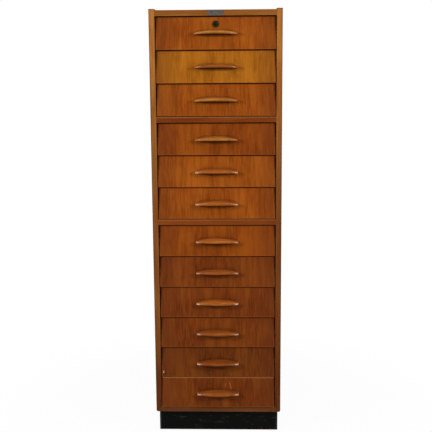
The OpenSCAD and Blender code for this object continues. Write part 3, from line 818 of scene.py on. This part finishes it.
def makeScrew():
    # Profile from the tip of the shank to the crown of the head, along +y
    head, tall, shank = [handleScrew[key] for key in ("headRadius", "headHeight", "shankRadius")]
    length, rim, sides = [handleScrew[key] for key in ("shankLength", "rimShare", "sides")]
    profile = [(handleScrew["pointRadius"], -length), (shank, handleScrew["pointLength"] - length)]
    profile += [(shank, 0.0), (head, 0.0)]
    for angle in handleScrew["domeAngles"]:
        profile.append((head * math.cos(angle), tall * (rim + (1 - rim) * math.sin(angle))))
    turns = [2 * math.pi * k / sides for k in range(sides)]
    points = [(out * math.cos(turn), along, out * math.sin(turn)) for out, along in profile for turn in turns]
    screw = buildMesh("screwBlank", points, joinRings(len(profile), sides), steel)
    wide, deep, long = handleScrew["slotWidth"] / 2, handleScrew["slotDepth"], head * handleScrew["slotReach"]
    corners = [(x, tall + y, z) for x in (-wide, wide) for y in (-deep, deep) for z in (-long, long)]
    walls = [(0, 1, 3, 2), (4, 6, 7, 5), (0, 4, 5, 1), (2, 3, 7, 6), (0, 2, 6, 4), (1, 5, 7, 3)]
    cutter = buildMesh("slotCutter", corners, walls, steel)
    cut = screw.modifiers.new("slot", "BOOLEAN")
    cut.operation = "DIFFERENCE"
    cut.object = cutter
    bpy.context.view_layer.update()
    made = bpy.data.meshes.new_from_object(screw.evaluated_get(bpy.context.evaluated_depsgraph_get()))
    bpy.data.objects.remove(screw)
    bpy.data.objects.remove(cutter)
    return made


def makeScrewPair(number, frontY, foot):
    # Both screws of a handle, each stopped at its own turn
    z = handle["under"] + handle["underRise"] + handle["middleHeight"] / 2 - handleScrew["drop"]
    y = handleScrew["seat"] + handle["lean"] * z - handleScrew["headHeight"] - handleScrew["sink"]
    pair = bmesh.new()
    for side in (-1, 1):
        one = screwMesh.copy()
        angle = handleScrew["turnByDrawer"] * number + side * handleScrew["turnBySide"]
        turn = Matrix.Rotation(angle, 4, "Y")
        one.transform(Matrix.Translation((side * handleScrew["spacing"] / 2, frontY + y, foot + z)) @ turn)
        pair.from_mesh(one)
        bpy.data.meshes.remove(one)
    mesh = bpy.data.meshes.new(f"handleScrews{number:02d}")
    pair.to_mesh(mesh)
    pair.free()
    mesh.materials.append(steel)
    return addPiece(f"handleScrews{number:02d}", mesh)


# The grain of a handle is finer than that of a front, and hands keep it smooth
handleWood = dict(teak, cloudMm=(12, 60), figureMm=(9, 160), streakMm=(2.5, 70), poreMm=(0.8, 9),
                  roughness=0.30)
toneOf = {number: toneName for toneName, members in handle["drawersByTone"].items() for number in members}
screwMesh = makeScrew()
for number in range(1, drawerCount + 1):
    drawer = f"drawer_{number:02d}"
    low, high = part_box(f"{drawer}_front")
    tones = handle["tones"][toneOf[number]]
    shift = (number * 2.3, number * 4.1, number * 1.9)
    paint = handlePaint(low.y, low.z, handle["tipHighlightDepth"].get(number, 0.0))
    shine = handleShine(handle["tipSheen"][toneOf[number]])
    wood = makeWood(f"teakSolidShaped{number:02d}", handleWood, tones, "X", shift, paint, shine)
    grip = makeHandle(f"handle{number:02d}", low.z, low.y, wood)
    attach(grip, drawer)
    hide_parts(f"{drawer}_handle")
    screws = makeScrewPair(number, low.y, low.z)
    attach(screws, drawer)
    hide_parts(f"{drawer}_handle")
bpy.data.meshes.remove(screwMesh)
print("handles and their screws built")


# Studio: pale floor, white backdrop, softboxes at both sides and one high in front
studio = {
    "floorHalf": 8.0,
    "floorTone": "#E4E2DE",
    "gritMm": (30, 30),
    "floorGlow": 0.965,
    "whiteFrom": (0.45, 1.2),    # distance from the chest over which the floor turns into the white backdrop
    "ambient": 0.08,
    "lamps": {
        "left": {"place": (-2.6, -2.1, 1.8), "size": (0.4, 0.6), "power": 70},
        "right": {"place": (2.5, -2.1, 1.8), "size": (0.4, 0.6), "power": 60},
        "above": {"place": (0.0, -1.9, 3.2), "size": (2.4, 1.4), "power": 14},
    },
    "aim": (0.0, -0.1, 1.2),
}


def seenPlainly(tree):
    # 1 for rays from the camera, and for those that metal and glass send on
    path = addNode(tree, "LightPath").outputs
    seen = addNode(tree, "Math", "MAXIMUM", [path["Is Camera Ray"], path["Is Glossy Ray"]])
    return addNode(tree, "Math", "MAXIMUM", [seen, path["Is Transmission Ray"]])


def makeFloorMaterial():
    # Nearly all that the camera sees of the floor is plain white, and the rest holds the soft shadow
    material, tree, coords = startMaterial("paintedFloorMatt")
    grit = noiseAlong(tree, coords, "X", *studio["gritMm"], shift=(0, 0, 0))
    tone = addNode(tree, "Mix", colours, [grit, toLinear(studio["floorTone"]), white])
    paint = addNode(tree, "BsdfDiffuse", links={"Color": tone})
    glow = addNode(tree, "Emission", links={"Color": white, "Strength": 1.0})
    distance = addNode(tree, "VectorMath", "LENGTH", [coords])
    glowShare = addNode(tree, "MapRange", smooth, [distance, *studio["whiteFrom"], studio["floorGlow"], 1.0])
    share = addNode(tree, "Math", "MULTIPLY", [seenPlainly(tree), glowShare])
    blend = addNode(tree, "MixShader", links=[share, paint, glow])
    addNode(tree, "OutputMaterial", links={"Surface": blend})
    return material


half = studio["floorHalf"]
corners = [(-half, -half, 0), (half, -half, 0), (half, half, 0), (-half, half, 0)]
floor = buildMesh("floor", corners, [(0, 1, 2, 3)], makeFloorMaterial())

world = bpy.data.worlds.new("studioWhite")
bpy.context.scene.world = world
world.use_nodes = True
tree = world.node_tree
tree.nodes.clear()
strength = addNode(tree, "MapRange", smooth, [seenPlainly(tree), 0.0, 1.0, studio["ambient"], 1.0])
sky = addNode(tree, "Background", links={"Color": white, "Strength": strength})
addNode(tree, "OutputWorld", links={"Surface": sky})

for name, lamp in studio["lamps"].items():
    light = bpy.data.lights.new(name, "AREA")
    light.shape = "RECTANGLE"
    light.size, light.size_y = lamp["size"]
    light.energy = lamp["power"]
    holder = addPiece(name, light)
    holder.location = lamp["place"]
    beam = Vector(studio["aim"]) - Vector(lamp["place"])
    holder.rotation_euler = beam.to_track_quat("-Z", "Y").to_euler()
print("studio lit")


# Camera: fitted to the straight edges of the case
view = {
    "place": (0.0854, -3.1053, 1.3398),
    "lens": 69.17,
    "sensor": 36,
    "yaw": -1.741,
    "tilt": 10.048,
    "roll": -0.425,
}
yaw, tilt, roll = [math.radians(view[key]) for key in ("yaw", "tilt", "roll")]
forward = Vector((math.sin(yaw) * math.cos(tilt), math.cos(yaw) * math.cos(tilt), -math.sin(tilt)))
level = Vector((math.cos(yaw), -math.sin(yaw), 0))
upright = level.cross(forward)
right = math.cos(roll) * level + math.sin(roll) * upright
above = -math.sin(roll) * level + math.cos(roll) * upright
camera = addPiece("camera", bpy.data.cameras.new("camera"))
camera.data.lens = view["lens"]
camera.data.sensor_width = view["sensor"]
turn = Matrix((right, above, -forward)).transposed().to_4x4()
camera.matrix_world = Matrix.Translation(view["place"]) @ turn
bpy.context.scene.camera = camera
bpy.context.scene.view_settings.view_transform = "Standard"
